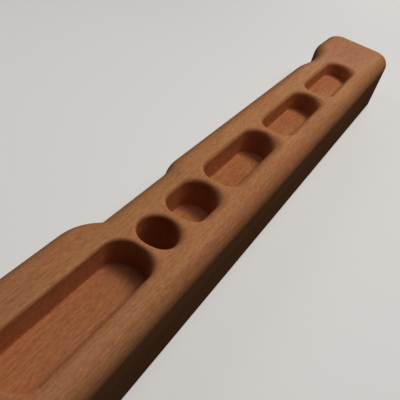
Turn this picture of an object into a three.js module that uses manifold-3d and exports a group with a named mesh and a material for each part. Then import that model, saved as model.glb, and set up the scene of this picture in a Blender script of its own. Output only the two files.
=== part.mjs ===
// Wooden climbing training board, in millimetres, lying on its back.
// +X runs along the board, +Y towards the edge that is uppermost when it hangs,
// and +Z out of the gripping face. The origin is the centre of the back face.
// Two beech layers are glued face to face, and the pockets are milled into the front one.
// Threaded inserts in the back layer take the bolts that hold the board up.
import * as THREE from "three";
import { mergeVertices } from "three/addons/utils/BufferGeometryUtils.js";
import Module from "manifold-3d";

// Layers
const frontLayerThickness = 32;
const backLayerThickness = 26;

// Heights above the lower edge: the row of pockets, then the rises of the wavy upper edge
const pocketRow = 33.3;
const upperBand = 30.5;
const shoulderRise = 3.8;
const humpRise = 10.2;

// Rounded edges of the board
const gripEdgeRadius = 12;
const upperEdgeRadius = 12;
const endEdgeRadius = 8;
const endCornerRadius = 16;
const backEdgeRadius = 2.5;

// Lengths along the row, from the middle of the board outwards
const centreSlotLength = 100;
const centreWall = 4.9;
const monoDiameter = 24.4;
const fingerWall = 6.9;
const twoFingerLength = 38.3;
const deepSlotLength = 80;
const slotWall = 7.6;
const middleSlotLength = 83;
const outerWall = 8.1;
const shallowSlotLength = 84;
const endMargin = 81;

// Widths of the pockets, and how far some of their middles lie above the row or, with a drop, below it
const centreSlotWidth = 29.4;
const twoFingerWidth = 26;
const twoFingerLift = 0.3;
const deepSlotWidth = 24.7;
const deepSlotLift = 1.1;
const outerSlotWidth = 24.9;
const outerSlotDrop = 0.9;
const pocketCornerRadius = 12.5;

// Depths of the pockets
const centreSlotDepth = 19.9;
const monoDepth = 28;
const twoFingerDepth = 23;
const deepSlotDepth = 22.7;
const middleSlotDepth = 18.6;
const shallowSlotDepth = 15;

// Radii of the pockets' edges: the mouth above and at the ends, the lip below, and round the floor
const centreSlotMouth = 2;
const centreSlotLip = 6.2;
const monoMouth = 2.6;
const monoLip = 7;
const slotMouth = 3.3;
const twoFingerLip = 8;
const deepSlotLip = 9;
const outerSlotLip = 6.5;
const floorRadius = 1.5;

// Power that sets how soon a lip's radius fades into the mouth's towards the ends
const lipFade = 3;

// Steps of the wavy upper edge, each of two arcs
const humpFootReach = 5.2;
const humpBendRadius = 34;
const humpFootRadius = 2;
const shoulderStepInset = 10.3;
const shoulderStepRadius = 30;
const notchStepRadius = 77;
const notchLength = 6;
const endHumpInset = 2;
const endHumpStepRadius = 50;

// Threaded inserts
const insertRadius = 6;
const insertLength = 15;
const insertBoreRadius = 3.4;
const insertFlangeRadius = 8;
const insertFlangeThickness = 1.5;
const insertRidgeDepth = 0.7;
const insertRidges = 3;
const insertRecess = 0.3;
const insertClearance = 0.3;
const insertHoleSpare = 2;
const insertEndInset = 60;
const insertRowSpacing = 36;

// Fineness of the curves, in counts
const arcSegments = 5;
const cornerSegments = 5;
const edgeSegments = 6;
const backEdgeSegments = 2;
const pocketCornerSegments = 6;
const mouthSegments = 5;
const floorSegments = 2;
const insertSegments = 18;

// How far a cutter runs past the face that it opens
const cutOverrun = 1;

const boardThickness = frontLayerThickness + backLayerThickness;
const recessHeight = pocketRow + upperBand;
const shoulderHeight = recessHeight + shoulderRise;
const boardHeight = recessHeight + humpRise;

const wasm = await Module();
wasm.setup();

// One side's pockets, each with the wall of wood before it, set out from the centre slot's end
function sidePockets() {
  const row = [
    {
      wall: centreWall,
      length: monoDiameter,
      width: monoDiameter,
      lift: 0,
      depth: monoDepth,
      mouth: monoMouth,
      lip: monoLip,
    },
    {
      wall: fingerWall,
      length: twoFingerLength,
      width: twoFingerWidth,
      lift: twoFingerLift,
      depth: twoFingerDepth,
      mouth: slotMouth,
      lip: twoFingerLip,
    },
    {
      wall: fingerWall,
      length: deepSlotLength,
      width: deepSlotWidth,
      lift: deepSlotLift,
      depth: deepSlotDepth,
      mouth: slotMouth,
      lip: deepSlotLip,
    },
    {
      wall: slotWall,
      length: middleSlotLength,
      width: outerSlotWidth,
      lift: -outerSlotDrop,
      depth: middleSlotDepth,
      mouth: slotMouth,
      lip: outerSlotLip,
    },
    {
      wall: outerWall,
      length: shallowSlotLength,
      width: outerSlotWidth,
      lift: -outerSlotDrop,
      depth: shallowSlotDepth,
      mouth: slotMouth,
      lip: outerSlotLip,
    },
  ];
  let end = centreSlotLength / 2;
  for (const pocket of row) {
    pocket.centre = end + pocket.wall + pocket.length / 2;
    end = pocket.centre + pocket.length / 2;
  }
  return row;
}

const side = sidePockets();
const twoFinger = side[1];
const outermost = side[side.length - 1];
const rowEnd = outermost.centre + outermost.length / 2;
const boardLength = 2 * (rowEnd + endMargin);

const centreSlot = {
  centre: 0,
  length: centreSlotLength,
  width: centreSlotWidth,
  lift: 0,
  depth: centreSlotDepth,
  mouth: centreSlotMouth,
  lip: centreSlotLip,
};
const mirrored = side.map((pocket) => ({ ...pocket, centre: -pocket.centre }));
const pockets = [centreSlot, ...side, ...mirrored];

// Length of a step made of two arcs that turn one way and then back, for its rise and their radii
function stepLength(rise, firstRadius, secondRadius) {
  return Math.sqrt(rise * (2 * (firstRadius + secondRadius) - rise));
}

// One step of the upper edge from x = start: an arc that leaves one height and one that reaches the next
function edgeStep(start, from, to, firstRadius, secondRadius) {
  const rise = Math.abs(to - from);
  const way = Math.sign(to - from);
  const slope = Math.acos(1 - rise / (firstRadius + secondRadius));
  const end = start + stepLength(rise, firstRadius, secondRadius);
  const first = [];
  const second = [];
  for (let i = 0; i <= arcSegments; i++) {
    const angle = (slope * i) / arcSegments;
    const sine = Math.sin(angle);
    const drop = way * (1 - Math.cos(angle));
    first.push({ x: start + firstRadius * sine, y: from + firstRadius * drop });
    second.unshift({ x: end - secondRadius * sine, y: to - secondRadius * drop });
  }
  return [...first, ...second.slice(1)];
}

// Points of the upper edge on one side, from the middle outwards: hump, recess, shoulder, notch, hump
function upperEdge() {
  const humpFoot = centreSlotLength / 2 + humpFootReach;
  const humpBend = humpFoot - stepLength(humpRise, humpBendRadius, humpFootRadius);
  const shoulder = twoFinger.centre + twoFinger.length / 2 - shoulderStepInset;
  const endHump = rowEnd - endHumpInset;
  const notch = endHump - notchLength - stepLength(shoulderRise, notchStepRadius, notchStepRadius);
  const points = [
    ...edgeStep(humpBend, boardHeight, recessHeight, humpBendRadius, humpFootRadius),
    ...edgeStep(shoulder, recessHeight, shoulderHeight, shoulderStepRadius, shoulderStepRadius),
    ...edgeStep(notch, shoulderHeight, recessHeight, notchStepRadius, notchStepRadius),
    ...edgeStep(endHump, recessHeight, boardHeight, endHumpStepRadius, endHumpStepRadius),
  ];
  return points.map((point) => ({ ...point, radius: upperEdgeRadius }));
}

// A quarter circle round (x, y), from one edge radius to the next
function corner(x, y, startAngle, fromRadius, toRadius) {
  const points = [];
  for (let i = 0; i <= cornerSegments; i++) {
    const share = i / cornerSegments;
    const angle = startAngle + (share * Math.PI) / 2;
    points.push({
      x: x + endCornerRadius * Math.cos(angle),
      y: y + endCornerRadius * Math.sin(angle),
      radius: fromRadius + (toRadius - fromRadius) * share,
    });
  }
  return points;
}

// The board's outline, counter-clockwise from the lower right corner, with outward directions
function boardOutline() {
  const right = boardLength / 2 - endCornerRadius;
  const low = endCornerRadius;
  const high = boardHeight - endCornerRadius;
  const edge = upperEdge();
  const leftEdge = edge.map((point) => ({ ...point, x: -point.x }));
  const points = [
    ...corner(right, low, -Math.PI / 2, gripEdgeRadius, endEdgeRadius),
    ...corner(right, high, 0, endEdgeRadius, upperEdgeRadius),
    ...edge.reverse(),
    ...leftEdge,
    ...corner(-right, high, Math.PI / 2, upperEdgeRadius, endEdgeRadius),
    ...corner(-right, low, Math.PI, endEdgeRadius, gripEdgeRadius),
  ];
  points.forEach((point, i) => {
    const before = points[(i + points.length - 1) % points.length];
    const after = points[(i + 1) % points.length];
    const a = new THREE.Vector2(point.x - before.x, point.y - before.y).normalize();
    const b = new THREE.Vector2(after.x - point.x, after.y - point.y).normalize();
    const along = a.add(b).normalize();
    point.outX = along.y;
    point.outY = -along.x;
  });
  return points;
}

// A closed solid through rings of points, lowest first, each ring counter-clockwise from above
function loft(rings) {
  const count = rings[0].length;
  const position = rings.flat().flatMap((point) => [point.x, point.y, point.z]);
  const index = [];
  for (let level = 0; level + 1 < rings.length; level++) {
    for (let i = 0; i < count; i++) {
      const next = (i + 1) % count;
      const a = level * count + i;
      const b = level * count + next;
      const c = a + count;
      const d = b + count;
      index.push(a, b, d, a, d, c);
    }
  }
  const capFaces = (ring) =>
    THREE.ShapeUtils.triangulateShape(ring.map((p) => new THREE.Vector2(p.x, p.y)), []);
  for (const [a, b, c] of capFaces(rings[0])) index.push(c, b, a);
  const top = (rings.length - 1) * count;
  for (const [a, b, c] of capFaces(rings[rings.length - 1])) index.push(top + a, top + b, top + c);
  const geometry = new THREE.BufferGeometry();
  geometry.setAttribute("position", new THREE.Float32BufferAttribute(position, 3));
  geometry.setIndex(index);
  return geometry;
}

function solidFrom(geometry) {
  const bare = geometry.index ? geometry.toNonIndexed() : geometry.clone();
  bare.deleteAttribute("normal");
  bare.deleteAttribute("uv");
  const merged = mergeVertices(bare);
  const mesh = new wasm.Mesh({
    numProp: 3,
    vertProperties: merged.attributes.position.array,
    triVerts: new Uint32Array(merged.index.array),
  });
  return new wasm.Manifold(mesh);
}

function geometryFrom(solid) {
  const mesh = solid.getMesh();
  const geometry = new THREE.BufferGeometry();
  geometry.setAttribute("position", new THREE.BufferAttribute(mesh.vertProperties, mesh.numProp));
  geometry.setIndex(new THREE.BufferAttribute(mesh.triVerts, 1));
  const flat = geometry.toNonIndexed();
  flat.computeVertexNormals();
  return flat;
}

// The outline drawn in by an inset for each point, at a height for each point
function ringOf(outline, insetAt, heightAt) {
  return outline.map((point) => ({
    x: point.x - point.outX * insetAt(point),
    y: point.y - point.outY * insetAt(point),
    z: heightAt(point),
  }));
}

// Front layer: straight sides from the glue line, then a quarter round up to the gripping face
function frontLayerBlank(outline) {
  const rings = [ringOf(outline, () => 0, () => backLayerThickness)];
  for (let i = 0; i <= edgeSegments; i++) {
    const angle = (i / edgeSegments) * (Math.PI / 2);
    rings.push(
      ringOf(
        outline,
        (point) => point.radius * (1 - Math.cos(angle)),
        (point) => boardThickness - point.radius * (1 - Math.sin(angle)),
      ),
    );
  }
  return solidFrom(loft(rings));
}

// Back layer: a small quarter round at the back face, then straight sides up to the glue line
function backLayerBlank(outline) {
  const rings = [];
  for (let i = 0; i <= backEdgeSegments; i++) {
    const angle = (i / backEdgeSegments) * (Math.PI / 2);
    const inset = backEdgeRadius * (1 - Math.sin(angle));
    const height = backEdgeRadius * (1 - Math.cos(angle));
    rings.push(ringOf(outline, () => inset, () => height));
  }
  rings.push(ringOf(outline, () => 0, () => backLayerThickness));
  return solidFrom(loft(rings));
}

// A ring with rounded corners, each point grown outwards and set at a height after its own edge
// radius, which goes from the mouth's at the ends to the lip's in the middle of the lower side
function pocketRing(pocket, growAt, heightAt) {
  const cornerRadius = Math.min(pocketCornerRadius, pocket.length / 2, pocket.width / 2);
  const reachX = pocket.length / 2 - cornerRadius;
  const reachY = pocket.width / 2 - cornerRadius;
  const corners = [
    { toX: 1, toY: 1, gap: reachX },
    { toX: -1, toY: 1, gap: reachY },
    { toX: -1, toY: -1, gap: reachX },
    { toX: 1, toY: -1, gap: reachY },
  ];
  const points = [];
  corners.forEach(({ toX, toY, gap }, quarter) => {
    const last = gap > 0 ? pocketCornerSegments : pocketCornerSegments - 1;
    for (let i = 0; i <= last; i++) {
      const angle = ((quarter + i / pocketCornerSegments) * Math.PI) / 2;
      const lipShare = toY < 0 ? 1 - Math.abs(Math.cos(angle)) ** lipFade : 0;
      const edge = pocket.mouth + (pocket.lip - pocket.mouth) * lipShare;
      const radius = cornerRadius + growAt(edge);
      points.push({
        x: pocket.centre + toX * reachX + radius * Math.cos(angle),
        y: pocketRow + pocket.lift + toY * reachY + radius * Math.sin(angle),
        z: heightAt(edge),
      });
    }
  });
  return points;
}

// The space of one pocket: a floor with a filleted rim, upright walls and a rolled mouth
function pocketCutter(pocket) {
  const floor = boardThickness - pocket.depth;
  const rings = [];
  for (let i = 0; i <= floorSegments; i++) {
    const angle = (i / floorSegments) * (Math.PI / 2);
    const inset = floorRadius * (1 - Math.sin(angle));
    const height = floor + floorRadius * (1 - Math.cos(angle));
    rings.push(pocketRing(pocket, () => -inset, () => height));
  }
  for (let i = 0; i <= mouthSegments; i++) {
    const angle = (i / mouthSegments) * (Math.PI / 2);
    rings.push(
      pocketRing(
        pocket,
        (edge) => edge * (1 - Math.cos(angle)),
        (edge) => boardThickness - edge * (1 - Math.sin(angle)),
      ),
    );
  }
  rings.push(pocketRing(pocket, (edge) => edge, () => boardThickness + cutOverrun));
  return solidFrom(loft(rings));
}

// A turned solid: the profile's points are [radius, height], set upright along +Z
function turned(profile) {
  const points = profile.map(([radius, height]) => new THREE.Vector2(radius, height));
  const geometry = new THREE.LatheGeometry(points, insertSegments);
  geometry.rotateX(Math.PI / 2);
  return geometry;
}

// Centres of the inserts: three columns of two, as seen from the front
function insertPlaces() {
  const column = boardLength / 2 - insertEndInset;
  const places = [];
  for (const x of [-column, 0, column]) {
    for (const end of [-1, 1]) {
      places.push({ x, y: pocketRow + (end * insertRowSpacing) / 2 });
    }
  }
  return places;
}

// The stepped blind hole that one insert sits in
function insertHole(place) {
  const seat = insertRecess + insertFlangeThickness;
  const holeEnd = insertRecess + insertLength + insertHoleSpare;
  const holeRadius = insertRadius + insertClearance;
  const seatRadius = insertFlangeRadius + insertClearance;
  const hole = turned([
    [0, -cutOverrun],
    [seatRadius, -cutOverrun],
    [seatRadius, seat],
    [holeRadius, seat],
    [holeRadius, holeEnd],
    [0, holeEnd],
  ]);
  hole.translate(place.x, place.y, 0);
  return solidFrom(hole);
}

// A flanged insert with a coarse outer thread, drawn as ridges, and a plain bore
function insertGeometry() {
  const low = insertRecess;
  const seat = low + insertFlangeThickness;
  const top = low + insertLength;
  const pitch = (top - seat) / insertRidges;
  const root = insertRadius - insertRidgeDepth;
  const profile = [
    [insertBoreRadius, low],
    [insertFlangeRadius, low],
    [insertFlangeRadius, seat],
  ];
  for (let i = 0; i < insertRidges; i++) {
    profile.push([root, seat + pitch * i]);
    profile.push([insertRadius, seat + pitch * (i + 1 / 2)]);
  }
  profile.push([root, top], [insertBoreRadius, top], [insertBoreRadius, low]);
  return turned(profile);
}

const beech = () =>
  new THREE.MeshStandardMaterial({ color: 0xc98f56, roughness: 0.5, metalness: 0 });
const zincSteel = () =>
  new THREE.MeshStandardMaterial({ color: 0xb9b6a8, roughness: 0.35, metalness: 1 });

function named(name, geometry, material) {
  const mesh = new THREE.Mesh(geometry, material);
  mesh.name = name;
  return mesh;
}

const outline = boardOutline();
const hangboard = new THREE.Group();
const board = new THREE.Group();
board.position.y = -boardHeight / 2;
hangboard.add(board);

let frontLayer = frontLayerBlank(outline);
let backLayer = backLayerBlank(outline);
for (const pocket of pockets) {
  const cutter = pocketCutter(pocket);
  frontLayer = frontLayer.subtract(cutter);
  backLayer = backLayer.subtract(cutter);
}
insertPlaces().forEach((place, i) => {
  backLayer = backLayer.subtract(insertHole(place));
  const insert = named(`threaded_insert_${i + 1}`, insertGeometry(), zincSteel());
  insert.position.set(place.x, place.y, 0);
  board.add(insert);
});
board.add(named("front_layer", geometryFrom(frontLayer), beech()));
board.add(named("back_layer", geometryFrom(backLayer), beech()));

export default hangboard;
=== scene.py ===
# Wooden climbing training board lying on its back on a pale floor, under plain soft studio light.
# +X runs along the board, +Y towards its wavy upper edge and +Z out of the gripping face.
# Shapes are worked out in millimetres, with y counted from the lower edge, and become metres in
# a mesh.
import math

import bmesh
import bpy
import numpy as np
from mathutils import Matrix, Vector
from mathutils.geometry import delaunay_2d_cdt


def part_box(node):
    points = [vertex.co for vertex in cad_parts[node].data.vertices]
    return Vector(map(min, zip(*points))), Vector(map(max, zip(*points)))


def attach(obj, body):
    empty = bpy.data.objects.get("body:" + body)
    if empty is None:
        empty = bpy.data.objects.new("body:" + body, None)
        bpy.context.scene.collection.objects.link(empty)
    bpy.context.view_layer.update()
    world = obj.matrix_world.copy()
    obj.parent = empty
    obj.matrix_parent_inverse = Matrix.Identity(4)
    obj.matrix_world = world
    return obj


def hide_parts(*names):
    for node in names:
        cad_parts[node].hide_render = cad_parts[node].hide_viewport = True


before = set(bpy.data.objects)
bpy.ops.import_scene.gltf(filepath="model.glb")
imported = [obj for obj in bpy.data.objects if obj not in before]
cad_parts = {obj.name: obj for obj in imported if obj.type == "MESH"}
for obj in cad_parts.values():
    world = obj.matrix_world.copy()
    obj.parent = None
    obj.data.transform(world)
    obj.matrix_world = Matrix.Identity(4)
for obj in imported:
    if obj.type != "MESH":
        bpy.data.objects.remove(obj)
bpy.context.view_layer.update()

MM = 0.001

# Overall sizes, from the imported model
front_low, front_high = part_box("front_layer")
_, back_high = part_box("back_layer")
LOWER_EDGE = front_low.y / MM
BOARD_LENGTH = (front_high.x - front_low.x) / MM
BOARD_HEIGHT = (front_high.y - front_low.y) / MM
BOARD_THICKNESS = front_high.z / MM
GLUE_LINE = back_high.z / MM

# Heights above the lower edge: the row of pockets, then the rises of the wavy upper edge
POCKET_ROW = 33.3
UPPER_BAND = 30.5
SHOULDER_RISE = 3.8
HUMP_RISE = 10.2

# Rounded edges of the board
GRIP_EDGE_RADIUS = 12.0
UPPER_EDGE_RADIUS = 12.0
END_EDGE_RADIUS = 8.0
END_CORNER_RADIUS = 16.0
BACK_EDGE_RADIUS = 2.5

# Pockets: a wall is the wood before a pocket, and a lift is how far it lies above the row. The
# rolled edge has the mouth's radius above and at the ends, and the lip's along the lower side.
FLOOR_RADIUS = 1.5
POCKET_CORNER_RADIUS = 12.5
CENTRE_SLOT = {
    "length": 100.0, "width": 29.4, "lift": 0.0, "depth": 19.9, "mouth": 2.0, "lip": 6.2,
}
SIDE_POCKETS = (
    {"wall": 4.9, "length": 24.4, "width": 24.4, "lift": 0.0, "depth": 28.0, "mouth": 2.6, "lip": 7.0},
    {"wall": 6.9, "length": 38.3, "width": 26.0, "lift": 0.3, "depth": 23.0, "mouth": 3.3, "lip": 8.0},
    {"wall": 6.9, "length": 80.0, "width": 24.7, "lift": 1.1, "depth": 22.7, "mouth": 3.3, "lip": 9.0},
    {"wall": 7.6, "length": 83.0, "width": 24.9, "lift": -0.9, "depth": 18.6, "mouth": 3.3, "lip": 6.5},
    {"wall": 8.1, "length": 84.0, "width": 24.9, "lift": -0.9, "depth": 15.0, "mouth": 3.3, "lip": 6.5},
)

# Steps of the wavy upper edge, each of two arcs
HUMP_FOOT_REACH = 5.2
HUMP_BEND_RADIUS = 34.0
HUMP_FOOT_RADIUS = 2.0
SHOULDER_STEP_INSET = 10.3
SHOULDER_STEP_RADIUS = 30.0
NOTCH_STEP_RADIUS = 77.0
NOTCH_LENGTH = 6.0
END_HUMP_INSET = 2.0
END_HUMP_STEP_RADIUS = 50.0

# Threaded inserts
INSERT_RADIUS = 6.0
INSERT_LENGTH = 15.0
INSERT_FLANGE_RADIUS = 8.0
INSERT_FLANGE_THICKNESS = 1.5
INSERT_FLANGE_CHAMFER = 0.25
INSERT_RECESS = 0.3
INSERT_CLEARANCE = 0.3
INSERT_HOLE_SPARE = 2.0
INSERT_THREAD_DEPTH = 0.7
INSERT_THREAD_PITCH = 2.7
BOLT_THREAD_RADIUS = 4.0
BOLT_BORE_RADIUS = 3.4
BOLT_THREAD_PITCH = 1.25
HEX_SOCKET_FLATS = 8.0
HEX_SOCKET_DEPTH = 4.0

# Ridge of a thread: how steeply it rises in a turn, and how much of it is left out at the root
RIDGE_STEEPNESS = 1.6
RIDGE_LEFT_OUT = 0.3

# How fast a pocket's lip fades towards the ends: a higher power keeps more of its length full
LIP_FADE_POWER = 3

# Wear from hands, together with a painted highlight on the pocket rims and rounded edges, from none to
# full, kept for each point in the attribute of this name
WEAR_AND_HIGHLIGHT_ATTRIBUTE = "handled_and_highlight"
MOUTH_WEAR_AND_HIGHLIGHT = 1.0
UPPER_WALL_WEAR_AND_HIGHLIGHT = 0.5
ROUND_EDGE_WEAR_AND_HIGHLIGHT = 0.6
FACE_WEAR_AND_HIGHLIGHT = 0.3

# Place of the two-finger pocket in the list of pockets
TWO_FINGER = 3

# Fineness of the meshes
ARC_SEGMENTS = 16
CORNER_SEGMENTS = 14
EDGE_SEGMENTS = 14
BACK_EDGE_SEGMENTS = 6
POCKET_CORNER_SEGMENTS = 22
MOUTH_SEGMENTS = 10
FLOOR_SEGMENTS = 8
HOLE_SEGMENTS = 40
HOLE_ANGLES = np.arange(HOLE_SEGMENTS) * (2 * np.pi / HOLE_SEGMENTS)
THREAD_RINGS_PER_PITCH = 7
SHARP_ANGLE = math.radians(35)

# Distance from a rounding to the ring beyond it, which keeps the flat faces shaded flat
SUPPORT = 0.12

# Caps are triangulated inside their outline alone, and points this close become one
CAP_INSIDE_ONLY = 1
CAP_TOLERANCE = 1e-7

# Camera: its place from the lower edge's middle, and its right, up and back directions, all
# fitted to the photograph
CAMERA_PLACE = (-119.96, -59.54, 259.74)
CAMERA_RIGHT = (0.5151, -0.8305, 0.2118)
CAMERA_UP = (0.4710, 0.4808, 0.7396)
CAMERA_BACK = (-0.7161, -0.2812, 0.6388)
PICTURE_SIDE = 400
FOCAL_PIXELS = 514.06
SENSOR_WIDTH = 36.0

# Distance in metres from which on the camera sees a thing
NEAREST_SEEN = 0.005

# Stage, in metres: the floor lies just under the board, and the dome closes off the view
FLOOR_HEIGHT = -0.0002
STAGE_REACH = 9.0
DOME_SEGMENTS = 64
DOME_RINGS = 32
FLOOR_COLOURS = ((0.48, 0.475, 0.47, 1), (0.50, 0.495, 0.49, 1))
FLOOR_CLOUD_SCALE = 1.5
FLOOR_CLOUD_EDGE = (0.3, 0.7)
FLOOR_ROUGHNESS = 0.85
FLOOR_GLOW = (1.0, 0.985, 0.97, 1)
FLOOR_GLOW_STRENGTH = 0.42

# Light: its colours, the place on the board that most lights are turned to, the sky and the view
WARM = (1.0, 0.98, 0.95)
COOL = (0.90, 0.96, 1.0)
BOARD_AIM = (0.12, 0.0, 0.05)
SKY_COLOUR = (0.9, 0.95, 1.0, 1)
SKY_STRENGTH = 0.012
VIEW_GAMMA = 0.7

# Each light's name, place, aim and size in metres, power in watts and colour
LIGHTS = (
    ("key_light", (0.64, -0.36, 1.15), BOARD_AIM, (0.5, 0.5), 7.9, WARM),
    ("top_light", (0.08, -0.06, 0.58), BOARD_AIM, (0.25, 0.25), 0.40, WARM),
    ("side_light", (0.15, 0.40, 0.50), BOARD_AIM, (0.25, 0.25), 0.26, COOL),
    ("back_light", (0.1, 1.20, 0.26), BOARD_AIM, (1.2, 0.4), 1.50, COOL),
    ("end_light", (1.10, 0.15, 0.35), BOARD_AIM, (0.4, 0.3), 0.80, WARM),
    # The half that the photograph doesn't show: two lights turned away from the other half, and
    # a low one beyond the end
    ("other_key_light", (-0.13, -0.20, 0.50), (-1.13, -0.20, 0.50), (0.3, 0.3), 2.4, WARM),
    ("other_side_light", (-0.13, 0.40, 0.45), (-1.13, 0.40, 0.45), (0.3, 0.3), 1.2, WARM),
    ("other_end_light", (-0.95, 0.0, 0.12), (0.0, 0.0, 0.05), (0.3, 0.1), 0.35, WARM),
)

# Woods of the two layers: how far the pith line lies from the board's middle line and from its
# back face, how it leans along the board, the seed, and the pale and the dark colour
FRONT_WOOD = {
    "pith": (14.0, -70.0), "lean": (0.012, 0.020), "seed": 1,
    "light": (0.72, 0.396, 0.207), "dark": (0.54, 0.262, 0.116),
}
BACK_WOOD = {
    "pith": (-30.0, -110.0), "lean": (-0.014, 0.010), "seed": 2,
    "light": (0.70, 0.377, 0.195), "dark": (0.52, 0.250, 0.110),
}

# How far each seed shifts the patterns, so that no two woods look alike
PATTERN_SHIFT = (137.0, 31.0, 17.0)

# Patterns in the wood: the size of a mark in millimetres along the board, across it and up
# through it, then the detail, roughness and distortion of the noise
WAVES = ((260, 70, 70), 2.0, 0.5, 0.0)
MOTTLE = ((4.5, 1.1, 1.1), 3.0, 0.65, 0.3)
STREAKS = ((18, 0.9, 0.9), 4.0, 0.6, 0.0)
PORES = ((2.6, 0.16, 0.16), 1.0, 0.5, 0.0)
BANDS = ((230, 13, 13), 3.0, 0.55, 0.4)
CLOUDS = ((90, 38, 38), 2.0, 0.5, 0.0)
NOISE_MIDDLE = 0.5

# Growth rings: how far the waves carry the grain, the width of a ring, how uneven the rings are,
# and where in a ring the late wood rises and falls
GRAIN_SWAY = 9.0
RING_WIDTH = 3.1
RING_UNEVENNESS = 5.0
RING_UNEVENNESS_SCALE = 0.11
RING_UNEVENNESS_DETAIL = 3.0
LATE_WOOD_RISE = (0.25, 0.93)
LATE_WOOD_FALL = (1.0, 0.95)

# Rays: their size along the grain, round the pith and along the radius, the radius at which the
# way round is measured, and the smallest size and the spread of a fleck in its cell
RAY_SIZE = (2.6, 0.8, 9)
RAY_TURN_RADIUS = 95.0
RAY_SMALLEST = 0.15
RAY_SPREAD = 0.2
RAY_EDGE = (1.3, 0.4)

# Colours of the marks, as shares of the wood's pale or dark colour
TAN_SHARES = (1.0, 1.02, 1.02)
ROSY_SHARES = (0.97, 0.88, 0.98)
PALE_SHARES = (1.22, 1.22, 1.22)
FLECK_SHARES = (0.80, 0.68, 0.55)
END_GRAIN_SHARES = (0.7, 0.62, 0.6)
GLUE_SHARES = (0.4, 0.35, 0.35)

# Where a mark's pattern starts and is full, and for a tint also its strength there
BAND_EDGE = (0.36, 0.64)
PORE_EDGE = (0.60, 0.72)
CLOUD_TINT = (0.35, 0.70, 0.0, 0.32)
DARK_STREAK_TINT = (0.44, 0.66, 0.0, 0.36)
PALE_STREAK_TINT = (0.46, 0.30, 0.0, 0.38)
DARK_MOTTLE_TINT = (0.50, 0.68, 0.0, 0.38)
PALE_MOTTLE_TINT = (0.48, 0.32, 0.0, 0.40)
GLUE_TINT = (0.35, 0.10, 0.0, 0.70)

# Strength of the marks that have an edge of their own, and how suddenly end grain comes in
LATE_WOOD_TINT = 0.22
RAY_TINT = 0.38
PORE_TINT = 0.20
END_GRAIN_TINT = 0.55
END_GRAIN_POWER = 3.0
# The pale wear tint is partly a painted highlight on the pocket rims and rounded edges
WEAR_AND_HIGHLIGHT_TINT = 0.12

# Surface of the wood: roughness between two values of the streaks, what takes some of it off,
# the relief of the marks and the strength and height of the bumps in metres
WOOD_ROUGHNESS = (0.3, 0.7, 0.50, 0.60)
WEAR_POLISH = 0.06
RAY_POLISH = 0.05
STREAK_RELIEF = 0.5
PORE_RELIEF = 0.8
RAY_RELIEF = 0.35
WOOD_BUMP = {"Strength": 0.5, "Distance": 0.00006}
WOOD_IOR = 1.46
WOOD_SPECULAR = 0.2

# Surface of the inserts: blotches and turning marks in the zinc
STEEL_COLOURS = ((0.74, 0.73, 0.68, 1), (0.62, 0.62, 0.60, 1))
STEEL_BLOTCH_SCALE = 0.7
STEEL_BLOTCH_DETAIL = 3.0
STEEL_BLOTCH_EDGE = (0.35, 0.65)
STEEL_TURNING_SCALE = (0.05, 0.05, 9.0)
STEEL_ROUGHNESS = (0.3, 0.7, 0.26, 0.42)
STEEL_BUMP = {"Strength": 0.4, "Distance": 0.00002}

recess_height = POCKET_ROW + UPPER_BAND
shoulder_height = recess_height + SHOULDER_RISE


def pocket_list():
    """All eleven pockets with their centres: the centre slot, then each side's row."""
    pockets = [dict(CENTRE_SLOT, centre=0.0)]
    end = CENTRE_SLOT["length"] / 2
    for shape in SIDE_POCKETS:
        middle = end + shape["wall"] + shape["length"] / 2
        pockets.extend(dict(shape, centre=side * middle) for side in (1, -1))
        end = middle + shape["length"] / 2
    return pockets, end


pockets, row_end = pocket_list()


def step_length(rise, first_radius, second_radius):
    """Length of a step made of two arcs that turn one way and then back."""
    return math.sqrt(rise * (2 * (first_radius + second_radius) - rise))


def edge_step(start, low, high, first_radius, second_radius):
    """Rows of x, y and edge radius along the two arcs that lead from one height to the next."""
    rise, way = abs(high - low), math.copysign(1, high - low)
    slope = math.acos(1 - rise / (first_radius + second_radius))
    end = start + step_length(rise, first_radius, second_radius)
    turn = np.linspace(0, slope, ARC_SEGMENTS + 1)
    sine, drop = np.sin(turn), way * (1 - np.cos(turn))
    first = np.column_stack([start + first_radius * sine, low + first_radius * drop])
    second = np.column_stack([end - second_radius * sine, high - second_radius * drop])
    points = np.concatenate([first, second[-2::-1]])
    return np.column_stack([points, np.full(len(points), UPPER_EDGE_RADIUS)])


def upper_edge():
    """The wavy edge on one side, from the middle outwards: hump, recess, shoulder, notch, hump."""
    hump_radii = (HUMP_BEND_RADIUS, HUMP_FOOT_RADIUS)
    shoulder_radii = (SHOULDER_STEP_RADIUS, SHOULDER_STEP_RADIUS)
    notch_radii = (NOTCH_STEP_RADIUS, NOTCH_STEP_RADIUS)
    end_radii = (END_HUMP_STEP_RADIUS, END_HUMP_STEP_RADIUS)
    hump_foot = CENTRE_SLOT["length"] / 2 + HUMP_FOOT_REACH
    hump = hump_foot - step_length(HUMP_RISE, *hump_radii)
    two_finger = pockets[TWO_FINGER]
    shoulder = two_finger["centre"] + two_finger["length"] / 2 - SHOULDER_STEP_INSET
    end_hump = row_end - END_HUMP_INSET
    notch = end_hump - NOTCH_LENGTH - step_length(SHOULDER_RISE, *notch_radii)
    return np.concatenate([
        edge_step(hump, BOARD_HEIGHT, recess_height, *hump_radii),
        edge_step(shoulder, recess_height, shoulder_height, *shoulder_radii),
        edge_step(notch, shoulder_height, recess_height, *notch_radii),
        edge_step(end_hump, recess_height, BOARD_HEIGHT, *end_radii),
    ])


def polar(centre, radius, angle):
    """Rows of x and y, at a radius and an angle from the centre."""
    return np.column_stack([centre[0] + radius * np.cos(angle), centre[1] + radius * np.sin(angle)])


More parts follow.
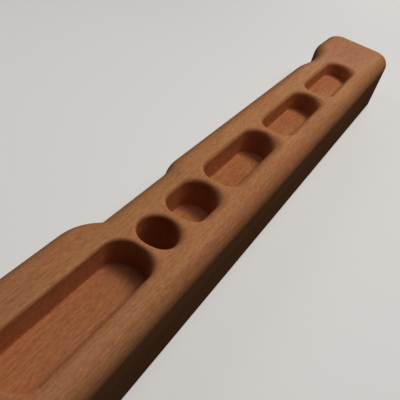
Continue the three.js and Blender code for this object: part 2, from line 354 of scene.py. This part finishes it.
def corner(x, y, start_angle, from_radius, to_radius):
    """A quarter circle round (x, y), from one edge radius to the next."""
    share = np.linspace(0, 1, CORNER_SEGMENTS + 1)
    points = polar((x, y), END_CORNER_RADIUS, start_angle + share * math.pi / 2)
    return np.column_stack([points, from_radius + (to_radius - from_radius) * share])


def board_outline():
    """Rows of x, y, edge radius and outward direction, counter-clockwise from the lower right."""
    right = BOARD_LENGTH / 2 - END_CORNER_RADIUS
    low, high = END_CORNER_RADIUS, BOARD_HEIGHT - END_CORNER_RADIUS
    edge = upper_edge()
    left_edge = edge * (-1, 1, 1)
    points = np.concatenate([
        corner(right, low, -math.pi / 2, GRIP_EDGE_RADIUS, END_EDGE_RADIUS),
        corner(right, high, 0, END_EDGE_RADIUS, UPPER_EDGE_RADIUS),
        edge[::-1],
        left_edge,
        corner(-right, high, math.pi / 2, UPPER_EDGE_RADIUS, END_EDGE_RADIUS),
        corner(-right, low, math.pi, END_EDGE_RADIUS, GRIP_EDGE_RADIUS),
    ])
    step = np.roll(points[:, :2], -1, axis=0) - points[:, :2]
    step /= np.linalg.norm(step, axis=1)[:, None]
    along = step + np.roll(step, 1, axis=0)
    along /= np.linalg.norm(along, axis=1)[:, None]
    return np.column_stack([points, along[:, 1], -along[:, 0]])


class Shell:
    """A closed mesh put together from rings of points, the strips between them and flat caps."""

    def __init__(self):
        self.points = []
        self.faces = []
        self.wear_and_highlight = []

    def ring(self, xy, z, wear_and_highlight=0.0):
        """Adds a ring at one height, or at one for each point, and returns its vertex numbers."""
        start = len(self.points)
        heights = np.broadcast_to(z, len(xy))
        self.points.extend([x, y, h] for (x, y), h in zip(xy, heights))
        self.wear_and_highlight.extend([wear_and_highlight] * len(xy))
        return list(range(start, len(self.points)))

    def strip(self, first, second):
        """Quads from one ring to the next. Both run counter-clockwise as seen from above."""
        for i, a in enumerate(first):
            j = (i + 1) % len(first)
            self.faces.append((a, first[j], second[j], second[i]))

    def strips(self, rings):
        """Quads from each ring to the next."""
        for first, second in zip(rings, rings[1:]):
            self.strip(first, second)

    def cap(self, border, holes=(), up=True):
        """A flat face inside the border ring and outside the hole rings, made of triangles."""
        loops = [border, *holes]
        numbers = [n for loop in loops for n in loop]
        flat = [Vector(self.points[n][:2]) for n in numbers]
        edges = []
        for loop in loops:
            start = len(edges)
            count = len(loop)
            edges.extend((start + i, start + (i + 1) % count) for i in range(count))
        found = delaunay_2d_cdt(flat, edges, [], CAP_INSIDE_ONLY, CAP_TOLERANCE)
        places, _, triangles, origins = found[:4]
        hole_shapes = [np.array([self.points[n][:2] for n in hole]) for hole in holes]
        for triangle in triangles:
            middle = sum((places[i] for i in triangle), Vector((0, 0))) / len(triangle)
            if any(inside(middle, shape) for shape in hole_shapes):
                continue
            a, b, c = (places[i] for i in triangle)
            rising = (b - a).cross(c - a) > 0
            face = [numbers[origins[i][0]] for i in triangle]
            self.faces.append(tuple(face if rising == up else face[::-1]))

    def object(self, name, material):
        """Puts the shell in the scene, in metres and smooth but for its sharp edges."""
        mesh = bpy.data.meshes.new(name)
        places = (np.array(self.points) + (0, LOWER_EDGE, 0)) * MM
        mesh.from_pydata(places.tolist(), [], self.faces)
        mesh.polygons.foreach_set("use_smooth", [True] * len(mesh.polygons))
        mesh.set_sharp_from_angle(angle=SHARP_ANGLE)
        attribute = mesh.attributes.new(WEAR_AND_HIGHLIGHT_ATTRIBUTE, "FLOAT", "POINT")
        attribute.data.foreach_set("value", self.wear_and_highlight)
        mesh.materials.append(material)
        mesh.update()
        made = bpy.data.objects.new(name, mesh)
        bpy.context.scene.collection.objects.link(made)
        return made


def inside(point, shape):
    """Whether a point lies in a ring: a line from it then crosses an odd number of its sides."""
    after = np.roll(shape, -1, axis=0)
    crossed = (shape[:, 1] > point[1]) != (after[:, 1] > point[1])
    a, b = shape[crossed], after[crossed]
    x = a[:, 0] + (point[1] - a[:, 1]) * (b[:, 0] - a[:, 0]) / (b[:, 1] - a[:, 1])
    return np.count_nonzero(x > point[0]) % 2 == 1


def pocket_corners(pocket):
    """For each point of a pocket's ring: the centre of its corner, and its direction from there."""
    radius = corner_radius(pocket)
    reach = np.array([pocket["length"], pocket["width"]]) / 2 - radius
    middle = np.array([pocket["centre"], POCKET_ROW + pocket["lift"]])
    centres, angles = [], []
    for quadrant, towards in enumerate(((1, 1), (-1, 1), (-1, -1), (1, -1))):
        count = POCKET_CORNER_SEGMENTS + (1 if reach[quadrant % 2] > 0 else 0)
        angles.append(np.pi / 2 * (quadrant + np.arange(count) / POCKET_CORNER_SEGMENTS))
        centres.append(np.tile(middle + reach * towards, (count, 1)))
    return np.concatenate(centres), np.concatenate(angles)


def corner_radius(pocket):
    """The radius of a pocket's corners, which make round ends where the pocket is small."""
    return min(POCKET_CORNER_RADIUS, pocket["length"] / 2, pocket["width"] / 2)


def pocket_ring(pocket, grow):
    """A ring with rounded corners, grown outwards by one amount or by an amount for each point."""
    centres, angles = pocket_corners(pocket)
    return polar(centres.T, corner_radius(pocket) + grow, angles)


def edge_radii(pocket):
    """The rolled edge's radius at each point: the mouth's at the ends and above, the lip's below."""
    angles = pocket_corners(pocket)[1]
    lip_share = np.where(np.sin(angles) < 0, 1 - np.abs(np.cos(angles)) ** LIP_FADE_POWER, 0)
    return pocket["mouth"] + (pocket["lip"] - pocket["mouth"]) * lip_share


def quarter(segments):
    """Sines and cosines of the angles from 0 to a right angle."""
    angle = np.linspace(0, np.pi / 2, segments + 1)
    return np.sin(angle), np.cos(angle)


def add_pocket(shell, pocket):
    """Adds a pocket's rolled mouth, walls and filleted floor. Returns the ring round its mouth."""
    top = BOARD_THICKNESS
    floor = top - pocket["depth"]
    edge = edge_radii(pocket)
    # The rolled mouth is painted paler, for wear and for a painted highlight on the rim
    rim = shell.ring(pocket_ring(pocket, edge + SUPPORT), top, MOUTH_WEAR_AND_HIGHLIGHT)
    rings = [rim]
    for sine, cosine in zip(*quarter(MOUTH_SEGMENTS)):
        xy = pocket_ring(pocket, edge * (1 - sine))
        rings.append(shell.ring(xy, top - edge * (1 - cosine), MOUTH_WEAR_AND_HIGHLIGHT))
    rings.append(shell.ring(pocket_ring(pocket, 0), top - edge - SUPPORT, UPPER_WALL_WEAR_AND_HIGHLIGHT))
    rings.append(shell.ring(pocket_ring(pocket, 0), floor + FLOOR_RADIUS + SUPPORT))
    for sine, cosine in zip(*quarter(FLOOR_SEGMENTS)):
        inset = FLOOR_RADIUS * (1 - cosine)
        rings.append(shell.ring(pocket_ring(pocket, -inset), floor + FLOOR_RADIUS * (1 - sine)))
    last = shell.ring(pocket_ring(pocket, -FLOOR_RADIUS - SUPPORT), floor)
    rings.append(last)
    shell.strips(rings)
    shell.faces.append(tuple(last))
    return rim


def front_layer_shell(outline):
    """Straight sides from the glue line, a quarter round to the gripping face, and the pockets."""
    shell = Shell()
    xy, radius, out = outline[:, :2], outline[:, 2], outline[:, 3:5]
    glue = shell.ring(xy, GLUE_LINE)
    rings = [glue, shell.ring(xy, BOARD_THICKNESS - radius - SUPPORT, FACE_WEAR_AND_HIGHLIGHT)]
    for sine, cosine in zip(*quarter(EDGE_SEGMENTS)):
        inset = (radius * (1 - cosine))[:, None]
        height = BOARD_THICKNESS - radius * (1 - sine)
        rings.append(shell.ring(xy - out * inset, height, ROUND_EDGE_WEAR_AND_HIGHLIGHT))
    inset = (radius + SUPPORT)[:, None]
    border = shell.ring(xy - out * inset, BOARD_THICKNESS, FACE_WEAR_AND_HIGHLIGHT)
    rings.append(border)
    shell.strips(rings)
    shell.cap(border, [add_pocket(shell, pocket) for pocket in pockets])
    shell.cap(glue, up=False)
    return shell


def circle(centre, radius):
    return polar(centre, radius, HOLE_ANGLES)


def insert_centres():
    """Centres of the inserts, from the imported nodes, in order of their names."""
    centres = {}
    for name in sorted(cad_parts):
        if name.startswith("threaded_insert_"):
            low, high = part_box(name)
            middle = (low + high) / 2 / MM
            centres[name] = (middle.x, middle.y - LOWER_EDGE)
    return centres


def back_layer_shell(outline, centres):
    """A small quarter round at the back face, straight sides, and the inserts' stepped holes."""
    shell = Shell()
    xy, out = outline[:, :2], outline[:, 3:5]
    radius = BACK_EDGE_RADIUS
    border = shell.ring(xy - out * (radius + SUPPORT), 0)
    rings = [border]
    for sine, cosine in zip(*quarter(BACK_EDGE_SEGMENTS)):
        rings.append(shell.ring(xy - out * (radius * (1 - sine)), radius * (1 - cosine)))
    rings.append(shell.ring(xy, radius + SUPPORT))
    glue = shell.ring(xy, GLUE_LINE)
    rings.append(glue)
    shell.strips(rings)
    shell.cap(glue)
    seat = INSERT_RECESS + INSERT_FLANGE_THICKNESS
    hole_end = INSERT_RECESS + INSERT_LENGTH + INSERT_HOLE_SPARE
    seat_radius = INSERT_FLANGE_RADIUS + INSERT_CLEARANCE
    hole_radius = INSERT_RADIUS + INSERT_CLEARANCE
    mouths = []
    for centre in centres.values():
        steps = (
            (seat_radius, 0), (seat_radius, seat), (hole_radius, seat), (hole_radius, hole_end),
        )
        hole = [shell.ring(circle(centre, size), height) for size, height in steps]
        mouths.append(hole[0])
        shell.strips([ring[::-1] for ring in hole])
        shell.faces.append(tuple(hole[-1][::-1]))
    shell.cap(border, mouths, up=False)
    return shell


def hex_ring(centre, flats):
    """A hexagon's outline with as many points as a circle."""
    sixth = np.pi / 3
    radius = flats / 2 / np.cos(HOLE_ANGLES % sixth - sixth / 2)
    return polar(centre, radius, HOLE_ANGLES)


def thread_rings(shell, centre, radius, rise, pitch, low, high):
    """Rings whose radius follows a helical ridge, which dies out at both ends."""
    count = int(round(abs(high - low) / pitch * THREAD_RINGS_PER_PITCH))
    rings = []
    for height in np.linspace(low, high, count + 1):
        turn = (height / pitch - HOLE_ANGLES / (2 * np.pi)) % 1
        ridge = np.clip(RIDGE_STEEPNESS * (1 - np.abs(2 * turn - 1)) - RIDGE_LEFT_OUT, 0, 1)
        ends = np.clip(min(abs(height - low), abs(high - height)) / pitch, 0, 1)
        rings.append(shell.ring(circle(centre, radius + rise * ridge * ends), height))
    return rings


def insert_shell(centre):
    """A flanged insert: coarse thread outside, bolt thread inside and a hexagon socket."""
    shell = Shell()
    low = INSERT_RECESS
    seat = low + INSERT_FLANGE_THICKNESS
    top = low + INSERT_LENGTH
    chamfer = INSERT_FLANGE_CHAMFER
    root = INSERT_RADIUS - INSERT_THREAD_DEPTH
    socket_end = low + HEX_SOCKET_DEPTH
    rings = [
        shell.ring(circle(centre, INSERT_FLANGE_RADIUS - chamfer), low),
        shell.ring(circle(centre, INSERT_FLANGE_RADIUS), low + chamfer),
        shell.ring(circle(centre, INSERT_FLANGE_RADIUS), seat),
        shell.ring(circle(centre, root), seat),
    ]
    rings += thread_rings(
        shell, centre, root, INSERT_THREAD_DEPTH, INSERT_THREAD_PITCH, seat + chamfer, top - chamfer
    )
    rings.append(shell.ring(circle(centre, root - chamfer), top))
    rings.append(shell.ring(circle(centre, BOLT_THREAD_RADIUS), top))
    rings += thread_rings(
        shell, centre, BOLT_THREAD_RADIUS, BOLT_BORE_RADIUS - BOLT_THREAD_RADIUS,
        BOLT_THREAD_PITCH, top - chamfer, socket_end + chamfer,
    )
    rings.append(shell.ring(circle(centre, BOLT_THREAD_RADIUS), socket_end))
    rings.append(shell.ring(hex_ring(centre, HEX_SOCKET_FLATS + chamfer), socket_end))
    rings.append(shell.ring(hex_ring(centre, HEX_SOCKET_FLATS + chamfer), low + chamfer))
    rings.append(shell.ring(hex_ring(centre, HEX_SOCKET_FLATS + 2 * chamfer), low))
    shell.strips(rings + rings[:1])
    return shell


class Nodes:
    """Short forms for putting a material's nodes together."""

    def __init__(self, name):
        self.material = bpy.data.materials.new(name)
        self.material.use_nodes = True
        self.tree = self.material.node_tree
        self.shader = self.tree.nodes["Principled BSDF"]

    def node(self, kind, inputs=(), **settings):
        """A node with its inputs given by name, or in their order, as values or as sockets."""
        made = self.tree.nodes.new(kind)
        for key, value in settings.items():
            setattr(made, key, value)
        pairs = inputs.items() if isinstance(inputs, dict) else enumerate(inputs)
        for key, value in pairs:
            self.set(made.inputs[key], value)
        return made

    def set(self, socket, value):
        if isinstance(value, bpy.types.NodeSocket):
            self.tree.links.new(value, socket)
        else:
            socket.default_value = value

    def math(self, operation, *values):
        return self.node("ShaderNodeMath", values, operation=operation).outputs[0]

    def vector(self, operation, *values):
        made = self.node("ShaderNodeVectorMath", operation=operation)
        for socket, value in zip(made.inputs, values):
            self.set(socket, value)
        return made.outputs[0]

    def scale(self, vector, factor):
        made = self.node("ShaderNodeVectorMath", {"Scale": factor}, operation="SCALE")
        self.set(made.inputs[0], vector)
        return made.outputs[0]

    def ramp(self, value, low, high, to_low=0.0, to_high=1.0):
        """Maps low..high smoothly to to_low..to_high."""
        inputs = {
            "Value": value, "From Min": low, "From Max": high, "To Min": to_low, "To Max": to_high,
        }
        made = self.node("ShaderNodeMapRange", inputs, interpolation_type="SMOOTHSTEP")
        return made.outputs["Result"]

    def noise(self, vector, scale, detail=2.0, roughness=0.5, distortion=0.0):
        inputs = {
            "Vector": vector, "Scale": scale, "Detail": detail, "Roughness": roughness,
            "Distortion": distortion,
        }
        return self.node("ShaderNodeTexNoise", inputs).outputs

    def marks(self, point, pattern):
        """The noise of a pattern: its marks are as long, wide and high as the pattern's size."""
        size, *settings = pattern
        stretched = self.vector("MULTIPLY", point, [1 / side for side in size])
        return self.noise(stretched, 1.0, *settings)

    def mix(self, factor, first, second):
        made = self.node("ShaderNodeMix", data_type="RGBA")
        for name, value in (("Factor_Float", factor), ("A_Color", first), ("B_Color", second)):
            socket = next(s for s in made.inputs if s.identifier == name)
            self.set(socket, value)
        return next(s for s in made.outputs if s.identifier == "Result_Color")

    def combine(self, x, y, z):
        return self.node("ShaderNodeCombineXYZ", (x, y, z)).outputs[0]

    def separate(self, vector):
        return self.node("ShaderNodeSeparateXYZ", (vector,)).outputs

    def surface(self, colour, roughness, relief, bump):
        """Gives the shader its colour, its roughness and the bumps of a relief."""
        normal = self.node("ShaderNodeBump", {"Height": relief, **bump}).outputs[0]
        self.set(self.shader.inputs["Base Color"], colour)
        self.set(self.shader.inputs["Roughness"], roughness)
        self.set(self.shader.inputs["Normal"], normal)


def tinted(colour, shares):
    return [part * share for part, share in zip(colour, shares)] + [1]


def pith_axes(n, point, shift, pith, lean):
    """Distance from the pith line, which slow waves bend, and the way round it."""
    x, y, z = n.separate(point)
    waves = n.marks(point, WAVES)["Color"]
    sway = n.scale(n.vector("SUBTRACT", waves, (NOISE_MIDDLE,) * 3), GRAIN_SWAY)
    _, sway_y, sway_z = n.separate(sway)
    across = n.math("ADD", n.math("SUBTRACT", y, shift[1] + pith[0]), sway_y)
    height = n.math("ADD", n.math("SUBTRACT", z, shift[2] + pith[1]), sway_z)
    along = n.math("SUBTRACT", x, shift[0])
    across = n.math("MULTIPLY_ADD", along, lean[0], across)
    height = n.math("MULTIPLY_ADD", along, lean[1], height)
    squares = n.math("ADD", n.math("POWER", across, 2.0), n.math("POWER", height, 2.0))
    turn = n.math("MULTIPLY", n.math("ARCTAN2", across, height), RAY_TURN_RADIUS)
    return n.math("SQRT", squares), turn


def late_wood_share(n, radial):
    """Late wood in the growth rings: a slow rise and a quick fall, in rings of uneven width."""
    noise_place = n.combine(n.math("MULTIPLY", radial, RING_UNEVENNESS_SCALE), 0.0, 0.0)
    noise = n.noise(noise_place, 1.0, RING_UNEVENNESS_DETAIL)["Fac"]
    uneven = n.math("MULTIPLY", noise, RING_UNEVENNESS)
    ring = n.math("FRACT", n.math("ADD", n.math("MULTIPLY", radial, 1 / RING_WIDTH), uneven))
    return n.math("MULTIPLY", n.ramp(ring, *LATE_WOOD_RISE), n.ramp(ring, *LATE_WOOD_FALL))


def ray_share(n, x, turn, radial):
    """Rays: flat spindles that stand along the radius, one in each cell of their own size."""
    axes = [n.math("MULTIPLY", axis, 1 / side) for axis, side in zip((x, turn, radial), RAY_SIZE)]
    inputs = {"Vector": n.combine(*axes), "Scale": 1.0, "Randomness": 1.0}
    cells = n.node("ShaderNodeTexVoronoi", inputs).outputs
    size = n.math("MULTIPLY_ADD", n.separate(cells["Color"])[0], RAY_SPREAD, RAY_SMALLEST)
    return n.ramp(n.math("DIVIDE", cells["Distance"], size), *RAY_EDGE)


def beech(name, pith, lean, seed, light, dark):
    """Oiled beech in real sizes: growth rings round a pith line, ray flecks, fibres and bands."""
    n = Nodes(name)
    coordinates = n.node("ShaderNodeTexCoord").outputs
    shift = [seed * step for step in PATTERN_SHIFT]
    point = n.vector("ADD", n.scale(coordinates["Object"], 1 / MM), shift)
    x, _, z = n.separate(point)

    radial, turn = pith_axes(n, point, shift, pith, lean)
    late_wood = late_wood_share(n, radial)
    ray = ray_share(n, x, turn, radial)
    pore = n.ramp(n.marks(point, PORES)["Fac"], *PORE_EDGE)
    mottle = n.marks(point, MOTTLE)["Fac"]
    streak = n.marks(point, STREAKS)["Fac"]
    band = n.marks(point, BANDS)["Fac"]
    cloud = n.marks(point, CLOUDS)["Fac"]

    # End grain takes up more oil, the glue line shows on the sides, and hands wear the wood pale, a
    # paleness that is also a painted highlight on the pocket rims and rounded edges
    normal_x = n.separate(coordinates["Normal"])[0]
    end_grain = n.math("POWER", n.math("ABSOLUTE", normal_x), END_GRAIN_POWER)
    above_glue = n.math("SUBTRACT", n.math("SUBTRACT", z, shift[2]), GLUE_LINE)
    from_glue = n.math("ABSOLUTE", above_glue)
    wear_and_highlight = n.node("ShaderNodeAttribute", attribute_name=WEAR_AND_HIGHLIGHT_ATTRIBUTE).outputs["Fac"]

    pale = tinted(light, PALE_SHARES)
    fleck = tinted(dark, FLECK_SHARES)
    layers = (
        (n.ramp(cloud, *CLOUD_TINT), [*dark, 1]),
        (n.math("MULTIPLY", late_wood, LATE_WOOD_TINT), [*dark, 1]),
        (n.ramp(streak, *DARK_STREAK_TINT), [*dark, 1]),
        (n.ramp(streak, *PALE_STREAK_TINT), pale),
        (n.ramp(mottle, *DARK_MOTTLE_TINT), fleck),
        (n.ramp(mottle, *PALE_MOTTLE_TINT), pale),
        (n.math("MULTIPLY", ray, RAY_TINT), fleck),
        (n.math("MULTIPLY", pore, PORE_TINT), fleck),
        (n.math("MULTIPLY", end_grain, END_GRAIN_TINT), tinted(dark, END_GRAIN_SHARES)),
        (n.ramp(from_glue, *GLUE_TINT), tinted(dark, GLUE_SHARES)),
        # Pale tint for wear, which is also a painted highlight on the rims and rounded edges
        (n.math("MULTIPLY", wear_and_highlight, WEAR_AND_HIGHLIGHT_TINT), pale),
    )
    colour = n.mix(n.ramp(band, *BAND_EDGE), tinted(light, TAN_SHARES), tinted(light, ROSY_SHARES))
    for share, tint in layers:
        colour = n.mix(share, colour, tint)

    roughness = n.ramp(streak, *WOOD_ROUGHNESS)
    roughness = n.math("MULTIPLY_ADD", wear_and_highlight, -WEAR_POLISH, roughness)
    roughness = n.math("MULTIPLY_ADD", ray, -RAY_POLISH, roughness)
    relief = n.math("MULTIPLY", streak, STREAK_RELIEF)
    relief = n.math("SUBTRACT", relief, n.math("MULTIPLY", pore, PORE_RELIEF))
    relief = n.math("SUBTRACT", relief, n.math("MULTIPLY", ray, RAY_RELIEF))
    n.surface(colour, roughness, relief, WOOD_BUMP)
    n.shader.inputs["IOR"].default_value = WOOD_IOR
    n.shader.inputs["Specular IOR Level"].default_value = WOOD_SPECULAR
    return n.material


def zinc_steel():
    """Zinc-plated turned steel: pale metal with a slight blotch and fine turning marks."""
    n = Nodes("zinc_plated_steel")
    place = n.scale(n.node("ShaderNodeTexCoord").outputs["Object"], 1 / MM)
    blotch = n.noise(place, STEEL_BLOTCH_SCALE, STEEL_BLOTCH_DETAIL)["Fac"]
    turning = n.noise(n.vector("MULTIPLY", place, STEEL_TURNING_SCALE), 1.0)["Fac"]
    colour = n.mix(n.ramp(blotch, *STEEL_BLOTCH_EDGE), *STEEL_COLOURS)
    n.surface(colour, n.ramp(blotch, *STEEL_ROUGHNESS), turning, STEEL_BUMP)
    n.shader.inputs["Metallic"].default_value = 1.0
    return n.material


def pale_floor_material():
    """A plain grey with soft clouds, and a faint glow that keeps it pale."""
    n = Nodes("pale_floor")
    place = n.node("ShaderNodeTexCoord").outputs["Object"]
    shade = n.noise(place, FLOOR_CLOUD_SCALE)["Fac"]
    n.set(n.shader.inputs["Base Color"], n.mix(n.ramp(shade, *FLOOR_CLOUD_EDGE), *FLOOR_COLOURS))
    n.shader.inputs["Roughness"].default_value = FLOOR_ROUGHNESS
    n.shader.inputs["Emission Color"].default_value = FLOOR_GLOW
    n.shader.inputs["Emission Strength"].default_value = FLOOR_GLOW_STRENGTH
    return n.material


def make_camera():
    """The photograph's view of the board."""
    data = bpy.data.cameras.new("camera")
    data.sensor_width = SENSOR_WIDTH
    data.lens = FOCAL_PIXELS / PICTURE_SIDE * SENSOR_WIDTH
    data.clip_start = NEAREST_SEEN
    camera = bpy.data.objects.new("camera", data)
    right, up, back = (Vector(v).normalized() for v in (CAMERA_RIGHT, CAMERA_UP, CAMERA_BACK))
    columns = Matrix((right, up, back)).transposed()
    place = (Vector(CAMERA_PLACE) + Vector((0, LOWER_EDGE, 0))) * MM
    camera.matrix_world = Matrix.Translation(place) @ columns.to_4x4()
    bpy.context.scene.collection.objects.link(camera)
    bpy.context.scene.camera = camera


def soft_light(name, place, aim, size, power, colour):
    """A soft light at a place in metres, turned to the point that it aims at."""
    data = bpy.data.lights.new(name, "AREA")
    data.shape = "RECTANGLE"
    data.size, data.size_y = size
    data.energy = power
    data.color = colour
    light = bpy.data.objects.new(name, data)
    towards = (Vector(place) - Vector(aim)).normalized()
    light.location = place
    light.rotation_mode = "QUATERNION"
    light.rotation_quaternion = towards.to_track_quat("Z", "Y")
    light.visible_camera = False
    bpy.context.scene.collection.objects.link(light)


def make_floor():
    """A pale floor and a dome of the same grey beyond it."""
    corners = [(x * STAGE_REACH, y * STAGE_REACH, FLOOR_HEIGHT)
               for x, y in ((-1, -1), (1, -1), (1, 1), (-1, 1))]
    floor_mesh = bpy.data.meshes.new("floor")
    floor_mesh.from_pydata(corners, [], [(0, 1, 2, 3)])
    dome_mesh = bpy.data.meshes.new("backdrop")
    sphere = bmesh.new()
    bmesh.ops.create_uvsphere(
        sphere, u_segments=DOME_SEGMENTS, v_segments=DOME_RINGS, radius=STAGE_REACH
    )
    sphere.to_mesh(dome_mesh)
    sphere.free()
    material = pale_floor_material()
    for mesh in (floor_mesh, dome_mesh):
        mesh.materials.append(material)
        piece = bpy.data.objects.new(mesh.name, mesh)
        bpy.context.scene.collection.objects.link(piece)
        # The camera alone sees it: no light goes back to the board, and the dome lets in the sky
        piece.visible_diffuse = False
        piece.visible_glossy = False
        piece.visible_shadow = mesh is floor_mesh


def dress_board():
    """The visible pieces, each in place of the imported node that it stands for."""
    outline = board_outline()
    centres = insert_centres()
    front_wood = beech("beech_front", **FRONT_WOOD)
    back_wood = beech("beech_back", **BACK_WOOD)
    steel = zinc_steel()
    front = front_layer_shell(outline).object("front_layer_wood", front_wood)
    back = back_layer_shell(outline, centres).object("back_layer_wood", back_wood)
    layers = ((front, "front_layer", "beech_front"), (back, "back_layer", "beech_back"))
    for piece, node, slot in layers:
        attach(piece, "root")
        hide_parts(node)
    for name, centre in centres.items():
        piece = insert_shell(centre).object(name.replace("threaded", "detailed"), steel)
        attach(piece, "root")
        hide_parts(name)


def light_studio():
    """A faint sky, the soft lights and the contrast of the photograph."""
    world = bpy.data.worlds.new("studio")
    world.use_nodes = True
    background = world.node_tree.nodes["Background"]
    background.inputs["Color"].default_value = SKY_COLOUR
    background.inputs["Strength"].default_value = SKY_STRENGTH
    bpy.context.scene.world = world
    for light in LIGHTS:
        soft_light(*light)
    bpy.context.scene.view_settings.view_transform = "Standard"
    bpy.context.scene.view_settings.gamma = VIEW_GAMMA


make_camera()
dress_board()
make_floor()
light_studio()
